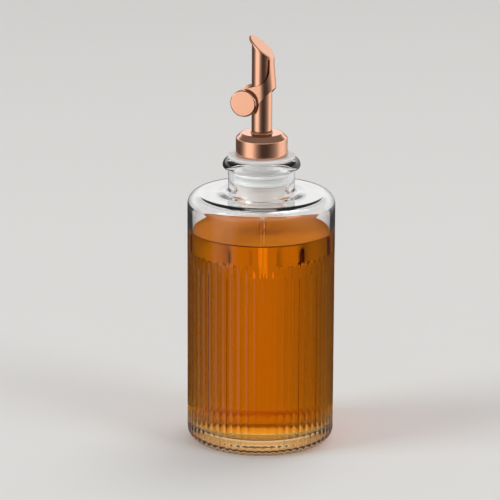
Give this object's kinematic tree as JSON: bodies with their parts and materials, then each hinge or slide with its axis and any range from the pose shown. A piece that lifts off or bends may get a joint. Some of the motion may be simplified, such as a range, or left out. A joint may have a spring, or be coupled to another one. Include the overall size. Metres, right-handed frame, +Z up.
{
  "type": "syrup dispenser",
  "caption": "Clear ribbed glass bottle of amber syrup with a silicone stopper and a copper-coloured pouring spout closed by a weighted flap.",
  "frame": {"origin": "centre of the bottle's base, on the surface it stands on", "axes": "+Z up along the bottle and the spout; the spout pours towards -X and the flap's pin lies along Y"},
  "size_m": [0.075, 0.075, 0.2108],
  "materials": {
    "clear_glass": "polished",
    "syrup": "gloss",
    "silicone": "satin",
    "copper_plate": "satin"
  },
  "bodies": {
    "dispenser": {"bottle": "clear_glass", "syrup": "syrup", "stopper": "silicone", "cap": "copper_plate", "spout": "copper_plate", "vent_tube": "copper_plate", "pivot_pin": "copper_plate"},
    "flap": {"flap": "copper_plate", "counterweight_left": "copper_plate", "counterweight_right": "copper_plate"}
  },
  "joints": [
    {"name": "flap_hinge", "type": "hinge", "parent": "dispenser", "child": "flap", "pos_m": [0, 0, 0.1815], "axis": [0, 1, 0], "range_deg": [0, 45]}
  ]
}
